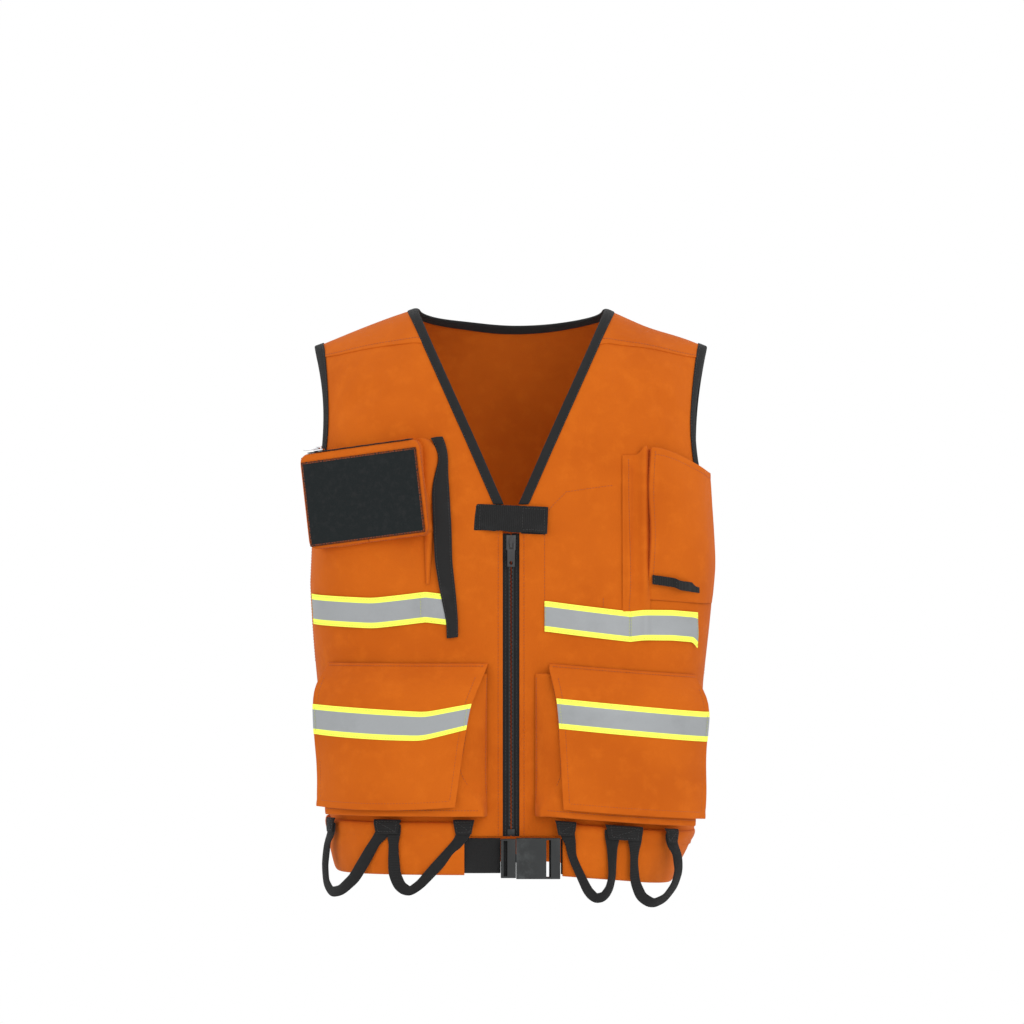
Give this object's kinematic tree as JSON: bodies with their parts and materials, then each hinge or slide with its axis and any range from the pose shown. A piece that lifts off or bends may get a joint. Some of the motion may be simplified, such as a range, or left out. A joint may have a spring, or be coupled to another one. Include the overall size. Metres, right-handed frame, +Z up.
{
  "type": "work vest",
  "caption": "Blaze orange sleeveless work vest with front zip, chest and cargo pockets, reflective tape, hem belt with side-release buckle and hanging tool loops.",
  "frame": {"origin": "midway between the two neck points, where the vest sits on the shoulders", "axes": "+X towards the wearer's left, -Y towards the front, +Z up"},
  "size_m": [0.4572, 0.2618, 0.6741],
  "materials": {
    "orange_cloth": "coated polyester twill, blaze orange",
    "black_binding": "folded woven binding tape",
    "black_webbing": "ribbed nylon webbing",
    "hook_loop": "hook and loop pile",
    "reflective_tape": "retroreflective silver with fluorescent yellow-green edges",
    "zip_tape": "woven zip tape",
    "zip_teeth": "moulded teeth",
    "slider_metal": "black enamelled slider",
    "bright_metal": "bright plated slider",
    "buckle_plastic": "moulded acetal"
  },
  "bodies": {
    "root": {"front_panel_right": "orange_cloth", "front_panel_left": "orange_cloth", "back_panel": "orange_cloth", "shoulder_yoke_right": "orange_cloth", "shoulder_yoke_left": "orange_cloth", "neck_binding": "black_binding", "armhole_binding_right": "black_binding", "armhole_binding_left": "black_binding", "zip_tape_right": "zip_tape", "zip_tape_left": "zip_tape", "zip_teeth_right": "zip_teeth", "zip_teeth_left": "zip_teeth", "zip_stops": "zip_teeth", "closure_tab_base": "black_webbing", "closure_loop_patch": "hook_loop", "lower_pocket_right": "orange_cloth", "lower_pocket_left": "orange_cloth", "lower_flap_root_right": "orange_cloth", "lower_flap_root_left": "orange_cloth", "lower_pocket_loop_right": "hook_loop", "lower_pocket_loop_left": "hook_loop", "chest_pocket_right": "orange_cloth", "chest_loop_panel": "hook_loop", "chest_zip_tape": "zip_tape", "chest_gusset_right": "orange_cloth", "chest_placket": "black_binding", "chest_tape_right": "reflective_tape", "chest_pocket_left": "orange_cloth", "chest_gusset_left": "orange_cloth", "accessory_strap": "black_webbing", "chest_tape_left": "reflective_tape", "inner_pocket_left": "orange_cloth", "back_tape": "reflective_tape", "hem_casing_right": "orange_cloth", "hem_casing_left": "orange_cloth", "hem_casing_back": "orange_cloth", "belt_webbing": "black_webbing", "buckle_socket": "buckle_plastic", "buckle_plug": "buckle_plastic", "loop_tab_right": "black_webbing", "loop_tab_left": "black_webbing"},
    "zip_slider_body": {"zip_slider": "slider_metal"},
    "zip_pull_body": {"zip_pull": "slider_metal"},
    "closure_tab_body": {"closure_tab": "black_webbing", "closure_hook_patch": "hook_loop"},
    "lower_flap_left_body": {"lower_flap_left": "orange_cloth", "lower_flap_tape_left": "reflective_tape", "lower_flap_hook_left": "hook_loop"},
    "lower_flap_right_body": {"lower_flap_right": "orange_cloth", "lower_flap_tape_right": "reflective_tape", "lower_flap_hook_right": "hook_loop"},
    "chest_zip_slider_body": {"chest_zip_slider": "bright_metal"},
    "chest_zip_pull_body": {"chest_zip_pull": "bright_metal"},
    "prong_upper_body": {"buckle_prong_upper": "buckle_plastic"},
    "prong_lower_body": {"buckle_prong_lower": "buckle_plastic"},
    "tool_loop_left_inner_body": {"tool_loop_left_inner": "black_webbing"},
    "tool_loop_left_outer_body": {"tool_loop_left_outer": "black_webbing"},
    "tool_loop_right_inner_body": {"tool_loop_right_inner": "black_webbing"},
    "tool_loop_right_outer_body": {"tool_loop_right_outer": "black_webbing"}
  },
  "joints": [
    {"name": "zip_slide", "type": "slide", "parent": "root", "child": "zip_slider_body", "axis": [0, 0, 1], "range_m": [-0.285, 0]},
    {"name": "zip_pull_swing", "type": "hinge", "parent": "zip_slider_body", "child": "zip_pull_body", "pos_m": [0, -0.1228, -0.257], "axis": [-1, 0, 0], "range_deg": [0, 120]},
    {"name": "closure_tab_peel", "type": "hinge", "parent": "root", "child": "closure_tab_body", "pos_m": [-0.03301, -0.1232, -0.24235], "axis": [-0.0436, 0, -0.999], "range_deg": [0, 150]},
    {"name": "lower_flap_left_lift", "type": "hinge", "parent": "root", "child": "lower_flap_left_body", "pos_m": [0.13661, -0.13769, -0.40081], "axis": [-0.951, -0.3007, 0.0721], "range_deg": [0, 110]},
    {"name": "lower_flap_right_lift", "type": "hinge", "parent": "root", "child": "lower_flap_right_body", "pos_m": [-0.13661, -0.13769, -0.394], "axis": [-0.9535, 0.3015, 0], "range_deg": [0, 110]},
    {"name": "chest_zip_slide", "type": "slide", "parent": "root", "child": "chest_zip_slider_body", "axis": [0.9203, -0.3718, 0.1219], "range_m": [0, 0.09]},
    {"name": "chest_zip_pull_swing", "type": "hinge", "parent": "chest_zip_slider_body", "child": "chest_zip_pull_body", "pos_m": [-0.2084, -0.08923, -0.15305], "axis": [0.3746, 0.9272, 0], "range_deg": [0, 150]},
    {"name": "prong_upper_press", "type": "hinge", "parent": "root", "child": "prong_upper_body", "pos_m": [0.0056, -0.1248, -0.5853], "axis": [0, 1, 0], "range_deg": [0, 9], "stiffness_Nm_per_rad": 0.6},
    {"name": "prong_lower_press", "type": "hinge", "parent": "root", "child": "prong_lower_body", "pos_m": [0.0056, -0.1248, -0.6053], "axis": [0, -1, 0], "range_deg": [0, 9], "stiffness_Nm_per_rad": 0.6},
    {"name": "tool_loop_left_inner_swing", "type": "hinge", "parent": "root", "child": "tool_loop_left_inner_body", "pos_m": [0.08651, -0.12787, -0.57182], "axis": [-0.9923, -0.0936, 0.0817], "range_deg": [0, 45]},
    {"name": "tool_loop_left_outer_swing", "type": "hinge", "parent": "root", "child": "tool_loop_left_outer_body", "pos_m": [0.15707, -0.11171, -0.57753], "axis": [-0.9049, -0.419, 0.0745], "range_deg": [0, 45]},
    {"name": "tool_loop_right_inner_swing", "type": "hinge", "parent": "root", "child": "tool_loop_right_inner_body", "pos_m": [-0.09055, -0.1275, -0.568], "axis": [-0.9938, 0.1109, 0], "range_deg": [0, 45]},
    {"name": "tool_loop_right_outer_swing", "type": "hinge", "parent": "root", "child": "tool_loop_right_outer_body", "pos_m": [-0.1731, -0.103, -0.568], "axis": [-0.8157, 0.5785, 0], "range_deg": [0, 45]}
  ],
  "couplings": [
    {"joint": "prong_lower_press", "follows": "prong_upper_press", "ratio": 1}
  ]
}
